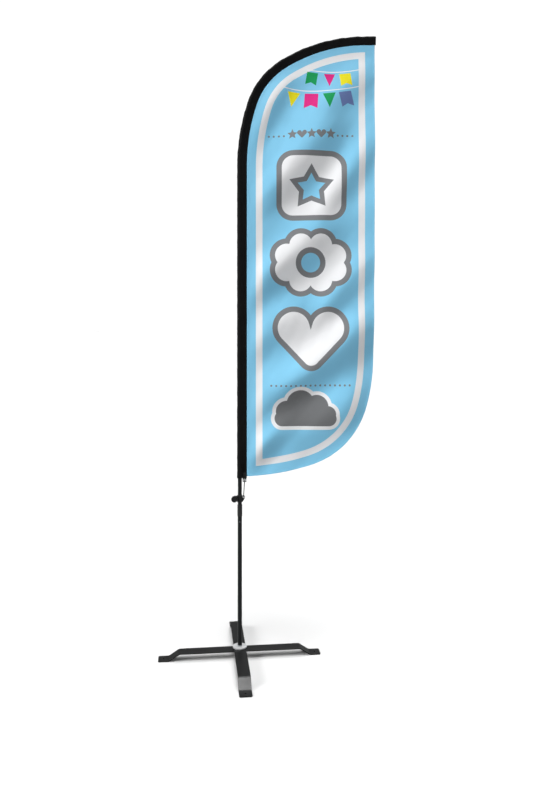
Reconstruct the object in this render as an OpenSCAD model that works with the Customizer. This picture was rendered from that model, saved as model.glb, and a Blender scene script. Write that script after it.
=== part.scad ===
// Feather flag on a sectional pole, with a folding cross base that lets it turn in the wind.
// The pole's axis is Z, the floor is Z = 0, and the flag lies in the XZ plane, out along +X.

/* [Flag] */
// Height of the sleeve's open lower end above the floor
mouth_z = 973; // [800:1:1400]
// Upright length of the sleeve, from its lower end to the start of the bend
upright_h = 1706; // [1200:1:2400]
// Thickness of the sleeve where it passes round the pole
sleeve_t = 3.2; // [2:0.1:6]
// Distance from the pole's axis in to the seam where the panel starts
seam_in = 38; // [30:1:60]
// Thickness of the sleeve's two plies between the pole and the seam
ply_t = 3; // [2:0.5:4]
// Thickness of the printed panel
panel_t = 1.2; // [0.8:0.1:2]
// Height of the panel's lower corner above the sleeve's lower end
panel_lift = 10; // [5:1:30]
// Run of the sleeve's tip past the panel's outer edge
tip_overhang = 7; // [4:1:15]
// Thickness of the cloth that closes the sleeve's tip
tip_wall = 2; // [1:0.5:3]

/* [Bend of the pole] */
// Radius of the first, gentle part of the bend
bend_r1 = 1120; // [800:10:1500]
// Radius of the tight middle part of the bend
bend_r2 = 415; // [300:5:600]
// Radius of the last part of the bend
bend_r3 = 860; // [600:10:1200]
// Turn of the gentle part, in degrees
bend_a1 = 18; // [10:1:30]
// Turn of the tight part, in degrees
bend_a2 = 40; // [30:1:50]
// Straight run at the tip, after the bend
tip_run = 59; // [40:1:100]

/* [Pole] */
// Diameter of the bending tip rod
rod_d = 11; // [8:0.1:14]
// Wall thickness of the upper pole
upper_wall = 3.4; // [1.5:0.1:4.5]
// Wall thickness of the middle pole
middle_wall = 1.9; // [1:0.1:3]
// Wall thickness of the lower pole
lower_wall = 0.9; // [0.8:0.1:2]
// Distance from the sleeve's lower end down to the lower pole's top end
joint_drop = 145; // [120:1:180]
// Length of the ferrule round the lower pole's top end
ferrule_len = 63; // [40:1:90]
// Wall thickness of that ferrule
ferrule_wall = 1.5; // [1:0.1:3]
// Length that each pole section pushes into the one below
joint_depth = 90; // [60:1:120]
// Height of the stop rings on the upper pole and the tip rod
stop_h = 12; // [8:1:20]
// Distance from the tip rod's stop ring up to the start of the bend
rod_lead = 110; // [60:1:200]

/* [Cross base] */
// Reach of each leg from the pole's axis
leg_reach = 442; // [350:1:560]
// Width of the flat bars
bar_w = 66; // [60:1:80]
// Thickness of the flat bars
bar_t = 6; // [5:0.5:8]
// Height of the underside of the lower bar's middle
bar_clear = 35; // [32:1:50]
// Length of each foot
foot_len = 58; // [45:1:80]
// Length of floor that each sloping part of a leg covers
ramp_run = 55; // [45:1:70]
// Inside radius of the bends in the bars
bar_bend_r = 12; // [6:1:16]
// Corner radius of the feet
foot_corner_r = 8; // [4:1:15]
// Diameter of the peg hole in each foot
peg_d = 10.5; // [8:0.5:14]
// Turn of the cross base from the flag's plane, in degrees
base_yaw = 6; // [0:1:45]

/* [Hub and spindle] */
// Wall thickness of the hub tube round the bearing
hub_wall = 4; // [3:0.5:6]
// Width of the hub's flange under the bars
hub_flange_w = 13; // [8:0.5:16]
// Diameter of the hub disc on top
disc_d = 77; // [64:1:96]
// Height of the hub disc
disc_h = 8; // [7:0.5:9]
// Outer diameter of the ball bearing
bearing_d = 26; // [21:0.5:32]
// Bore of the ball bearing
bearing_bore = 10; // [8:0.5:10]
// Width of the ball bearing
bearing_w = 8; // [7:0.5:8]
// Number of balls
ball_count = 8; // [6:1:8]
// Diameter of the spindle rod inside the pole
spindle_d = 16; // [12:0.5:17]
// Length of the spindle rod above its collar
spindle_len = 174; // [120:1:240]
// Length of the bush in the foot of the lower pole
bush_len = 116; // [80:1:160]

/* [Tension clamp] */
// Distance from the lower pole's top end up to the clamp
clamp_rise = 14; // [4:1:24]
// Height of the clamp
clamp_h = 38; // [34:1:46]
// Wall thickness of the clamp's collar
clamp_wall = 3.5; // [2.5:0.1:6]
// Thickness of each ear
ear_t = 8; // [6:0.5:10]
// Slit between the ears
ear_gap = 2; // [1:0.5:4]
// Distance from the collar's wall out to the clamp screw
screw_out = 14.5; // [12:0.5:18]
// Thread diameter of the clamp screw
screw_d = 6; // [5:0.5:8]
// Diameter of the knob
knob_d = 35; // [28:1:42]
// Thickness of the knob
knob_t = 14; // [10:0.5:18]
// Bore of the clamp's eye
eye_bore = 11; // [9:0.5:14]
// Thickness of the eye
eye_t = 6; // [4:0.5:8]
// Cord diameter of the elastic loop
elastic_d = 5; // [3:0.5:5]

/* [Hidden] */
$fn = 64;

// Clearances
run_gap = 0.05;     // radial, between a shaft and its bore
face_gap = 0.05;    // axial, between faces that slide or turn on each other
slide_gap = 0.1;    // radial, between a pole section and the one it pushes into
sleeve_gap = 0.8;   // between a pole section and the cloth round it
over = 1;           // how far a cut runs past the face it opens

// Diameters of the pole, from the tip rod out: each section's bore fits the next one's outside
upper_bore = rod_d + 2 * slide_gap;
upper_d = upper_bore + 2 * upper_wall;
middle_bore = upper_d + 2 * slide_gap;
middle_d = middle_bore + 2 * middle_wall;
lower_bore = middle_d + 2 * slide_gap;
lower_d = lower_bore + 2 * lower_wall;
ferrule_d = lower_d + 2 * ferrule_wall;
fold_out = middle_d / 2 + sleeve_gap + sleeve_t;   // from the axis out to the sleeve's fold

// Diameters in the hub
hub_d = bearing_d + 2 * hub_wall;
hub_flange_d = hub_d + 2 * hub_flange_w;

// Heights in the base
lower_top = bar_clear + bar_t;
washer_t = 1;
upper_bottom = lower_top + washer_t;
upper_top = upper_bottom + bar_t;
disc_bottom = upper_top + face_gap;
disc_top = disc_bottom + disc_h;
disc_lip = 2;
hub_flange_t = 4;
hub_top = disc_top - disc_lip;
circlip_t = 1.1;
bearing_top = hub_top - circlip_t - 0.9;
bearing_bottom = bearing_top - bearing_w;
spindle_collar_h = 4;
collar_bottom = disc_top + 1;
collar_top = collar_bottom + spindle_collar_h;
spindle_nut_h = 8;
pole_foot = collar_top + face_gap;
bush_flange_t = 3;
lower_start = pole_foot + bush_flange_t;

// Heights along the pole
joint_z = mouth_z - joint_drop;
bend_z = mouth_z + upright_h;
rod_joint_z = bend_z - rod_lead;
middle_top = (joint_z + rod_joint_z) / 2;
rivet_d = 4;
middle_start = joint_z - joint_depth;

// The bend: each stretch is [radius, turn], and starts where the last one ends
BEND = [[bend_r1, bend_a1], [bend_r2, bend_a2], [bend_r3, 90 - bend_a1 - bend_a2]];

// Angle from upright, and the pole axis's place, at the start of stretch i
function lean(i) = i == 0 ? 0 : lean(i - 1) + BEND[i - 1][1];
function bend_x(i) = i == 0 ? 0
    : bend_x(i - 1) + BEND[i - 1][0] * (cos(lean(i - 1)) - cos(lean(i)));
function bend_height(i) = i == 0 ? bend_z
    : bend_height(i - 1) + BEND[i - 1][0] * (sin(lean(i)) - sin(lean(i - 1)));
tip_start_x = bend_x(3);
tip_z = bend_height(3);
tip_x = tip_start_x + tip_run;

// The panel: its right edge, and the curve of its lower free edge as
// [radius for a panel 1 wide, turn] from the right edge round to the seam
panel_right = tip_x - tip_overhang;
panel_w = panel_right - seam_in;
panel_bottom = mouth_z + panel_lift;
EDGE = [[1.47, 17], [0.67, 56], [1.9, 15]];
function edge_lean(i) = i == 0 ? 0 : edge_lean(i - 1) + EDGE[i - 1][1];
function edge_run(i) = i == 0 ? 0
    : edge_run(i - 1) + EDGE[i - 1][0] * (cos(edge_lean(i - 1)) - cos(edge_lean(i)));
function edge_drop(i) = i == 0 ? 0
    : edge_drop(i - 1) + EDGE[i - 1][0] * (sin(edge_lean(i)) - sin(edge_lean(i - 1)));
edge_scale = panel_w / edge_run(3);
edge_top = panel_bottom + edge_drop(3) * edge_scale;
arc_steps = 10;

// The clamp, its eye and the elastic loop
clamp_z = joint_z + clamp_rise;
clamp_top = clamp_z + clamp_h;
clamp_d = middle_d + 2 * clamp_wall;
screw_x = clamp_d / 2 + screw_out;
screw_z = clamp_z + clamp_h / 2 + 0.5;
ear_h = 26;
ear_out = 11;                                 // from the screw to the ears' outer end
washer_clamp_t = 1.2;
screw_nut_flat = 10;
screw_nut_h = 5;
eye_d = eye_bore + 6;
eye_x = clamp_d / 2 + eye_bore / 2 + 1;
eye_z = clamp_top - 11;
tab_w = 20;
tab_x = seam_in - 12;
tab_ply = 1.5;
tab_half = ply_t / 2 + tab_ply;
tab_bottom = mouth_z - 21;
tab_top = mouth_z + 30;
eyelet_z = tab_bottom + 10;
eyelet_bore = 9.5;
eyelet_d = 16;
eyelet_flange = 0.6;
loop_r = max(eye_t / 2, tab_half + eyelet_flange) + elastic_d / 2 + 0.3;
loop_low = eye_z + eye_bore / 2;              // centre of the loop's bend at the clamp
loop_high = eyelet_z - eyelet_bore / 2;       // and at the tab

// ---------- shared shapes ----------

module ring(outer_r, inner_r, h) {
    difference() {
        cylinder(r = outer_r, h = h);
        translate([0, 0, -over]) cylinder(r = inner_r, h = h + 2 * over);
    }
}

// A turned disc with its two outer edges broken by a chamfer
module chamfered_disc(r, h, chamfer) {
    rotate_extrude() polygon([
        [0, 0], [r - chamfer, 0], [r, chamfer],
        [r, h - chamfer], [r - chamfer, h], [0, h]
    ]);
}

// Points of a round corner at b, where a line of heading h1 turns by turn degrees
function round_corner(b, h1, turn, r, n = 6) =
    let (side = sign(turn),
         start = b - r * tan(abs(turn) / 2) * [cos(h1), sin(h1)],
         centre = start + side * r * [-sin(h1), cos(h1)])
    [for (k = [0:n]) let (h = h1 + turn * k / n) centre + side * r * [sin(h), -cos(h)]];

// ---------- cross base ----------

// Side view of one half of a bar whose middle stands on the given height
function leg_outline(underside) =
    let (ramp_out = leg_reach - foot_len,
         ramp_in = ramp_out - ramp_run,
         slope = atan(underside / ramp_run),
         shift = bar_t / 2 * tan(slope / 2),
         top = underside + bar_t)
    concat(
        round_corner([ramp_in + shift, top], 0, -slope, bar_bend_r + bar_t),
        round_corner([ramp_out + shift, bar_t], -slope, slope, bar_bend_r),
        [[leg_reach, bar_t], [leg_reach, 0]],
        reverse(round_corner([ramp_out - shift, 0], -slope, slope, bar_bend_r + bar_t)),
        reverse(round_corner([ramp_in - shift, underside], 0, -slope, bar_bend_r))
    );
function reverse(list) = [for (i = [len(list) - 1:-1:0]) list[i]];
function mirrored(list) = [for (p = reverse(list)) [-p[0], p[1]]];

// Top view of a bar: a long rectangle with rounded corners
module bar_plan() {
    corner_x = leg_reach - foot_corner_r;
    corner_y = bar_w / 2 - foot_corner_r;
    square([2 * corner_x, bar_w], center = true);
    square([2 * leg_reach, 2 * corner_y], center = true);
    for (x = [-corner_x, corner_x], y = [-corner_y, corner_y])
        translate([x, y]) circle(r = foot_corner_r);
}

module bar(underside, hub_gap) {
    outline = leg_outline(underside);
    difference() {
        intersection() {
            rotate([90, 0, 0]) translate([0, 0, -bar_w])
                linear_extrude(2 * bar_w) polygon(concat(outline, mirrored(outline)));
            translate([0, 0, -over])
                linear_extrude(underside + bar_t + 2 * over) bar_plan();
        }
        translate([0, 0, underside - over])
            cylinder(d = hub_d + 2 * hub_gap, h = bar_t + 2 * over);
        for (side = [-1, 1])
            translate([side * (leg_reach - foot_len / 2), 0, -over])
                cylinder(d = peg_d, h = bar_t + 2 * over, $fn = 32);
    }
}

module lower_bar() {
    color("#2a2c2e") rotate([0, 0, base_yaw]) bar(bar_clear, 0);
}

module upper_bar() {
    color("#2a2c2e") rotate([0, 0, base_yaw + 90]) bar(upper_bottom, run_gap);
}

module bar_washer() {
    color("#1b1b1b") translate([0, 0, lower_top])
        ring(hub_flange_d / 2, hub_d / 2, washer_t - face_gap);
}

module hub_tube() {
    ledge_r = bearing_d / 2 - 3;
    color("#8c9093") difference() {
        union() {
            translate([0, 0, bar_clear - hub_flange_t])
                chamfered_disc(hub_flange_d / 2, hub_flange_t, 0.8);
            translate([0, 0, bar_clear - hub_flange_t])
                cylinder(d = hub_d, h = hub_top - bar_clear + hub_flange_t);
        }
        translate([0, 0, bearing_bottom]) cylinder(d = bearing_d, h = hub_top);
        translate([0, 0, bar_clear - hub_flange_t - over]) cylinder(r = ledge_r, h = hub_top);
        translate([0, 0, bearing_top]) cylinder(r = bearing_d / 2 + 0.8, h = circlip_t);
    }
}

module hub_disc() {
    lip_r = spindle_neck_r() + 2;
    color("#c9cbcb") translate([0, 0, disc_bottom]) difference() {
        chamfered_disc(disc_d / 2, disc_h, 1.2);
        translate([0, 0, -over]) cylinder(d = hub_d, h = disc_h - disc_lip + over);
        translate([0, 0, -over]) cylinder(r = lip_r, h = disc_h + 2 * over);
    }
}

// ---------- ball bearing ----------

pitch_r = (bearing_d + bearing_bore) / 4;
ball_r = (bearing_d - bearing_bore) * 0.15;
ring_half_gap = ball_r * 0.55;      // from the pitch circle to each ring's land

module race_cut() {
    rotate_extrude() translate([pitch_r, 0]) circle(r = ball_r + face_gap, $fn = 32);
}

module bearing_outer_ring() {
    color("#b9bcbf") difference() {
        translate([0, 0, bearing_bottom]) ring(bearing_d / 2, pitch_r + ring_half_gap, bearing_w);
        translate([0, 0, bearing_bottom + bearing_w / 2]) race_cut();
    }
}

module bearing_inner_ring() {
    color("#b9bcbf") difference() {
        translate([0, 0, bearing_bottom]) ring(pitch_r - ring_half_gap, bearing_bore / 2, bearing_w);
        translate([0, 0, bearing_bottom + bearing_w / 2]) race_cut();
    }
}

module at_each_ball() {
    for (i = [0:ball_count - 1])
        rotate([0, 0, i * 360 / ball_count])
            translate([pitch_r, 0, bearing_bottom + bearing_w / 2]) children();
}

module bearing_cage() {
    cage_h = 2 * ball_r + 1.4;
    half_wall = ring_half_gap * 0.7;
    color("#b08d57") difference() {
        translate([0, 0, bearing_bottom + (bearing_w - cage_h) / 2])
            ring(pitch_r + half_wall, pitch_r - half_wall, cage_h);
        at_each_ball() sphere(r = ball_r + face_gap, $fn = 32);
    }
}

module bearing_balls() {
    color("#d6d8da") at_each_ball() sphere(r = ball_r, $fn = 32);
}

module bearing_circlip() {
    ring_out = bearing_d / 2 + 0.7;
    color("#8c9093") translate([0, 0, bearing_top]) difference() {
        ring(ring_out, bearing_d / 2 - 2, circlip_t);
        translate([0, -2, -over]) cube([bearing_d, 4, circlip_t + 2 * over]);
    }
}

// ---------- spindle ----------

function spindle_neck_r() = pitch_r - ring_half_gap - 0.6;

module spindle() {
    journal_low = bearing_bottom - spindle_nut_h - 2;
    chamfer = 1.5;
    rod_r = spindle_d / 2;
    rod_top = collar_top + spindle_len;
    color("#9a9ea1") rotate_extrude() polygon([
        [0, journal_low], [bearing_bore / 2, journal_low],
        [bearing_bore / 2, bearing_top], [spindle_neck_r(), bearing_top],
        [spindle_neck_r(), collar_bottom], [lower_d / 2, collar_bottom],
        [lower_d / 2, collar_top], [rod_r, collar_top],
        [rod_r, rod_top - chamfer], [rod_r - chamfer, rod_top], [0, rod_top]
    ]);
}

module spindle_nut() {
    nut_corner_r = bearing_bore * 0.92;
    color("#8c9093") translate([0, 0, bearing_bottom - spindle_nut_h]) difference() {
        cylinder(r = nut_corner_r, h = spindle_nut_h, $fn = 6);
        translate([0, 0, -over]) cylinder(d = bearing_bore, h = spindle_nut_h + 2 * over);
    }
}

// ---------- pole ----------

module pole_foot_bush() {
    color("#1b1b1b") translate([0, 0, pole_foot]) difference() {
        union() {
            cylinder(d = lower_d, h = bush_flange_t);
            cylinder(d = lower_bore, h = bush_len);
        }
        translate([0, 0, -over])
            cylinder(d = spindle_d + 2 * run_gap, h = bush_len + 2 * over);
    }
}

module lower_pole() {
    color("#232527") difference() {
        translate([0, 0, lower_start])
            ring(lower_d / 2, lower_bore / 2, joint_z - lower_start);
        translate([0, 0, middle_start - rivet_d / 2]) rotate([90, 0, 0])
            cylinder(d = rivet_d, h = 2 * lower_d, center = true, $fn = 32);
    }
}

// A collar round the lower pole's top end, its edges broken by a chamfer
module lower_ferrule() {
    r_in = lower_d / 2;
    r_out = ferrule_d / 2;
    chamfer = 0.8;
    z0 = joint_z - ferrule_len;
    color("#17181a") rotate_extrude() polygon([
        [r_in, z0], [r_out - chamfer, z0], [r_out, z0 + chamfer],
        [r_out, joint_z - chamfer], [r_out - chamfer, joint_z], [r_in, joint_z]
    ]);
}

// A cross pin that the middle pole's end stands on
module stop_rivet() {
    color("#8c9093") translate([0, 0, middle_start - rivet_d / 2]) rotate([90, 0, 0])
        cylinder(d = rivet_d, h = lower_d, center = true, $fn = 32);
}

module middle_pole() {
    color("#232527") translate([0, 0, middle_start])
        ring(middle_d / 2, middle_bore / 2, middle_top - middle_start);
}

module upper_stop_ring() {
    color("#b9bcbf") translate([0, 0, middle_top]) ring(middle_d / 2, upper_d / 2, stop_h);
}

module upper_pole() {
    start = middle_top - joint_depth;
    color("#232527") translate([0, 0, start])
        ring(upper_d / 2, upper_bore / 2, rod_joint_z - start);
}

module tip_stop_ring() {
    color("#b9bcbf") translate([0, 0, rod_joint_z]) ring(upper_d / 2, rod_d / 2, stop_h);
}

// Carries a flat profile along the bend and the straight tip. The profile's origin follows
// the pole's axis, and its +X side faces the panel. Each stretch stops a little short of the
// next, and a short band a hair larger bridges the gap, so that all stretches are one solid.
module along_bend(tip_length) {
    band_len = 2;
    band_scale = 1.002;
    short = 0.3;
    for (i = [0:2]) {
        r = BEND[i][0];
        turn = BEND[i][1];
        centre_x = bend_x(i) + r * cos(lean(i));
        centre_z = bend_height(i) - r * sin(lean(i));
        cut = short / r * 180 / PI;
        translate([centre_x, 0, centre_z]) rotate([90, 0, 0])
            rotate_extrude(angle = turn - 2 * cut, start = 180 - lean(i) - turn + cut, $fn = 180)
                translate([r, 0]) mirror([1, 0]) children();
    }
    translate([tip_start_x + short, 0, tip_z]) rotate([0, 90, 0])
        linear_extrude(tip_length - short) children();
    for (i = [0:3])
        translate([bend_x(i), 0, bend_height(i)]) rotate([0, lean(i), 0])
            linear_extrude(band_len, center = true) scale(band_scale) children();
}

cap_wall = 2;
cap_len = 20;
rod_end = tip_run - tip_wall - cap_wall - 2;   // from the start of the straight tip

module tip_rod() {
    start = rod_joint_z - joint_depth;
    color("#232527") {
        translate([0, 0, start]) cylinder(d = rod_d, h = bend_z - start);
        along_bend(rod_end) circle(d = rod_d);
    }
}

// Rubber cap on the rod's end, so that it does not wear through the cloth
module tip_cap() {
    color("#111111") translate([tip_start_x + rod_end, 0, tip_z]) rotate([0, 90, 0]) difference() {
        translate([0, 0, cap_wall - cap_len])
            cylinder(d = rod_d + 2 * cap_wall, h = cap_len);
        translate([0, 0, -cap_len]) cylinder(d = rod_d, h = cap_len);
    }
}

// ---------- flag ----------

module sleeve_profile() {
    circle(r = fold_out);
    translate([0, -ply_t / 2]) square([seam_in, ply_t]);
}

module pole_sleeve() {
    wide_top = middle_top + stop_h + 6;
    mid_top = rod_joint_z + stop_h + 6;
    rod_room = cap_wall + 0.4;
    color("#141414") difference() {
        union() {
            translate([0, 0, mouth_z]) linear_extrude(upright_h) sleeve_profile();
            along_bend(tip_run) sleeve_profile();
        }
        translate([0, 0, mouth_z - over])
            cylinder(d = middle_d + 2 * sleeve_gap, h = wide_top - mouth_z + over);
        translate([0, 0, mouth_z])
            cylinder(d = upper_d + 2 * sleeve_gap, h = mid_top - mouth_z);
        translate([0, 0, mouth_z])
            cylinder(d = rod_d + 2 * rod_room, h = bend_z - mouth_z);
        along_bend(tip_run - tip_wall) circle(d = rod_d + 2 * rod_room);
    }
}

// The panel's edge along the seam: the bend again, offset in by seam_in
function seam_points() = [
    for (i = [0:2], k = [(i == 0 ? 0 : 1):arc_steps])
    let (r = BEND[i][0],
         a = lean(i) + BEND[i][1] * k / arc_steps)
    [bend_x(i) + r * cos(lean(i)) - (r - seam_in) * cos(a),
     bend_height(i) - r * sin(lean(i)) + (r - seam_in) * sin(a)]
];

// The free lower edge, from the right edge round to the seam
function free_edge_points() = [
    for (i = [0:2], k = [(i == 0 ? 0 : 1):arc_steps])
    let (r = EDGE[i][0],
         a = edge_lean(i) + EDGE[i][1] * k / arc_steps)
    [panel_right - edge_scale * (edge_run(i) + r * (cos(edge_lean(i)) - cos(a))),
     edge_top - edge_scale * (edge_drop(i) + r * (sin(a) - sin(edge_lean(i))))]
];

module flag_panel() {
    color("#86cbed") rotate([90, 0, 0]) translate([0, 0, -panel_t / 2])
        linear_extrude(panel_t) polygon(concat(
            seam_points(),
            [[panel_right, tip_z - seam_in]],
            free_edge_points()
        ));
}

// Webbing folded over the sleeve's lower corner and sewn down
module sleeve_tab() {
    color("#101010") difference() {
        translate([tab_x - tab_w / 2, -tab_half, tab_bottom])
            cube([tab_w, 2 * tab_half, tab_top - tab_bottom]);
        translate([tab_x - tab_w, -ply_t / 2, mouth_z])
            cube([2 * tab_w, ply_t, tab_top]);
        translate([tab_x, 0, eyelet_z]) rotate([90, 0, 0])
            cylinder(d = eyelet_d - 4, h = 4 * ply_t, center = true);
        cylinder(r = fold_out + 0.2, h = tab_top + over);
    }
}

// Metal eyelet through the tab, with a rolled flange on each side
module tab_eyelet() {
    color("#3b3d3f") translate([tab_x, 0, eyelet_z]) rotate([90, 0, 0]) difference() {
        union() {
            cylinder(d = eyelet_d - 4, h = 2 * tab_half, center = true);
            for (side = [-1, 1])
                translate([0, 0, side * (tab_half + eyelet_flange / 2)])
                    cylinder(d = eyelet_d, h = eyelet_flange, center = true);
        }
        cylinder(d = eyelet_bore, h = 4 * tab_half, center = true);
    }
}

// One endless elastic cord, through the tab's eyelet and the clamp's eye
module elastic_loop() {
    dx = tab_x - eye_x;
    dz = loop_high - loop_low;
    run = sqrt(dx * dx + dz * dz);
    tilt = atan(dx / dz);
    color("#0d0d0d") translate([eye_x, 0, loop_low]) rotate([0, tilt, 0]) {
        for (side = [-1, 1])
            translate([0, side * loop_r, 0]) cylinder(d = elastic_d, h = run, $fn = 24);
        rotate([0, 0, 90]) rotate([90, 0, 0])
            rotate_extrude(angle = 180, start = 180) translate([loop_r, 0])
                circle(d = elastic_d, $fn = 24);
        translate([0, 0, run]) rotate([0, 0, 90]) rotate([90, 0, 0])
            rotate_extrude(angle = 180) translate([loop_r, 0])
                circle(d = elastic_d, $fn = 24);
    }
}

// ---------- tension clamp ----------

// Things on the clamp screw's axis are drawn along Z, and face the flag's front
module on_screw_axis(y) {
    translate([-screw_x, y, screw_z]) rotate([90, 0, 0]) children();
}

module clamp_collar() {
    ear_front = ear_gap / 2 + ear_t;
    hole = middle_d + 2 * run_gap;
    color("#1b1c1d") difference() {
        union() {
            translate([0, 0, clamp_z]) chamfered_disc(clamp_d / 2, clamp_h, 1);
            translate([-screw_x - ear_out + ear_h / 2, -ear_front, screw_z - ear_h / 2])
                cube([screw_x + ear_out - ear_h / 2, 2 * ear_front, ear_h]);
            on_screw_axis(ear_front)
                translate([ear_h / 2 - ear_out, 0, 0]) cylinder(d = ear_h, h = 2 * ear_front);
            eye_web();
        }
        translate([0, 0, clamp_z - over]) cylinder(d = hole, h = clamp_h + 2 * over);
        translate([-2 * screw_x, -ear_gap / 2, clamp_z - over])
            cube([2 * screw_x, ear_gap, clamp_h + 2 * over]);
        on_screw_axis(2 * ear_front)
            cylinder(d = screw_d + 0.6, h = 4 * ear_front, $fn = 32);
        on_screw_axis(ear_front + over)
            cylinder(r = screw_nut_flat / sqrt(3) + 0.02, h = screw_nut_h + over, $fn = 6);
        translate([eye_x, 0, eye_z]) rotate([90, 0, 0])
            cylinder(d = eye_bore, h = 2 * eye_t, center = true);
    }
}

// The eye's ring, and the web that carries it down to the collar's lower edge
module eye_web() {
    translate([eye_x, 0, eye_z]) rotate([90, 0, 0])
        cylinder(d = eye_d, h = eye_t, center = true);
    rotate([90, 0, 0]) linear_extrude(eye_t, center = true) polygon([
        [clamp_d / 2 - 2, clamp_z + 1],
        [clamp_d / 2 + 1, clamp_z + 1],
        [eye_x + eye_d / 2 - 1, eye_z - eye_d / 4],
        [eye_x, eye_z],
        [clamp_d / 2 - 2, eye_z]
    ]);
}

module clamp_nut() {
    color("#8c9093") on_screw_axis(ear_gap / 2 + ear_t) difference() {
        cylinder(r = screw_nut_flat / sqrt(3), h = screw_nut_h, $fn = 6);
        translate([0, 0, -over])
            cylinder(d = screw_d + 2 * run_gap, h = screw_nut_h + 2 * over, $fn = 32);
    }
}

washer_back = -ear_gap / 2 - ear_t - face_gap;
knob_back = washer_back - washer_clamp_t - face_gap;

module clamp_washer() {
    color("#9a9ea1") on_screw_axis(washer_back)
        ring(screw_d, screw_d / 2 + run_gap, washer_clamp_t, $fn = 32);
}

module clamp_screw() {
    tail = ear_gap / 2 + ear_t + 3;
    buried = knob_t - 5;
    color("#9a9ea1") on_screw_axis(tail)
        cylinder(d = screw_d, h = tail - knob_back + buried, $fn = 32);
}

// A round knob with a narrower boss behind it, grip flutes and a dished face
module clamp_knob() {
    boss_r = screw_d + 1;
    boss_h = 3;
    flutes = 16;
    flute_r = 2.4;
    color("#141516") on_screw_axis(knob_back) difference() {
        union() {
            cylinder(r = boss_r, h = boss_h);
            translate([0, 0, boss_h]) chamfered_disc(knob_d / 2, knob_t - boss_h, 1.5);
        }
        for (i = [0:flutes - 1])
            rotate([0, 0, i * 360 / flutes]) translate([knob_d / 2 + 1.2, 0, boss_h - over])
                cylinder(r = flute_r, h = knob_t, $fn = 24);
        translate([0, 0, knob_t - 1]) cylinder(d = knob_d * 0.62, h = 1 + over);
        translate([0, 0, -over]) cylinder(d = screw_d, h = knob_t - 5 + over, $fn = 32);
    }
}

// ---------- nodes ----------

lower_bar();
upper_bar();
bar_washer();
hub_tube();
hub_disc();
bearing_outer_ring();
bearing_inner_ring();
bearing_cage();
bearing_balls();
bearing_circlip();
spindle();
spindle_nut();
pole_foot_bush();
lower_pole();
lower_ferrule();
stop_rivet();
middle_pole();
upper_stop_ring();
upper_pole();
tip_stop_ring();
tip_rod();
tip_cap();
pole_sleeve();
flag_panel();
sleeve_tab();
tab_eyelet();
elastic_loop();
clamp_collar();
clamp_nut();
clamp_washer();
clamp_screw();
clamp_knob();
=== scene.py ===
# %% [markdown]
# # A feather flag on its pole and cross base
# The metal, the pole and everything that turns or slides come ready made from the frame, in
# metres, with Z up and the pole's axis at x = 0, y = 0. The flag's front faces -Y. This lesson
# adds what a frame cannot hold: cloth in soft folds, a printed pattern, stitching, a braided
# elastic cord, and the finish of every metal and plastic piece.

# %% Load the frame
import math

import bmesh
import bpy
import numpy as np
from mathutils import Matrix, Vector
from mathutils.geometry import delaunay_2d_cdt


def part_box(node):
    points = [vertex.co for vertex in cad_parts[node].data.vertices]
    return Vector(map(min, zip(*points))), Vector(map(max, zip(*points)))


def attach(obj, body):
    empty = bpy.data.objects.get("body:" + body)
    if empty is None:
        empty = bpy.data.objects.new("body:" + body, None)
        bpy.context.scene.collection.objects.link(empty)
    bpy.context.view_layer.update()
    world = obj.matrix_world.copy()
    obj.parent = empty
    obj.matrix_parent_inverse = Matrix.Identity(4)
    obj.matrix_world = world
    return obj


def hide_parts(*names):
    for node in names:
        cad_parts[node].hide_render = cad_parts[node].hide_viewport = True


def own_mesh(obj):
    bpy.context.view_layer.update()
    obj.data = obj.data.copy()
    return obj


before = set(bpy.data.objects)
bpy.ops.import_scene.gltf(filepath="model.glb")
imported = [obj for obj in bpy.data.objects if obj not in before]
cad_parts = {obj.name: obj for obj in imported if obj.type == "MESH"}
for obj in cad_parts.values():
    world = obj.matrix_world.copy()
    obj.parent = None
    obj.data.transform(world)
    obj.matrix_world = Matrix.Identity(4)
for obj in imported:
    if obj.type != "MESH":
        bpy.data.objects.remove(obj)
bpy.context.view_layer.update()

# %% [markdown]
# ## Camera
# The flag is seen straight on, with its upright lines upright, and the cross base from above. A
# level camera with a lowered lens gives both, and the vertical shift stands in for the lowered
# lens. Tilting the camera down would make the flag narrow towards its foot.

# %% Place the camera
CAMERA_PLACE = (0.146, -4.10, 1.90)


def new_object(name, data):
    made = bpy.data.objects.new(name, data)
    bpy.context.collection.objects.link(made)
    return made


camera_data = bpy.data.cameras.new("camera")
camera_data.lens = 33.3
camera_data.shift_y = -0.119
camera = new_object("camera", camera_data)
camera.location = CAMERA_PLACE
camera.rotation_euler = (math.radians(90), 0, 0)
bpy.context.scene.camera = camera
print("camera at", CAMERA_PLACE)

# %% [markdown]
# ## Studio
# A white floor and a white surround. A big soft key shines from the upper left, square to the
# way the folds run, because cloth shows its folds only when the light rakes across them. A
# smaller lamp overhead catches the sloping face of the front leg, and a broad ceiling lamp
# behind it makes the soft shadow under the legs. Two tall strips draw highlights down the
# black pole. The floor and the surround are white where they are seen and dimmer where they
# light the object, so that the folds and the black pieces keep their depth.

# %% Floor, surround and lights
def lamp(name, kind, place, aim, energy, size, size_y=None):
    """A lamp that points at a place. A sun's size is the angle it fills, in radians."""
    data = bpy.data.lights.new(name, kind)
    data.energy = energy
    if kind == "AREA":
        data.shape = "RECTANGLE"
        data.size = size
        data.size_y = size_y or size
    else:
        data.angle = size
    made = new_object(name, data)
    made.location = place
    made.rotation_euler = (Vector(aim) - Vector(place)).to_track_quat("-Z", "Y").to_euler()


def link(tree, source, target):
    tree.links.new(source, target)


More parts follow.
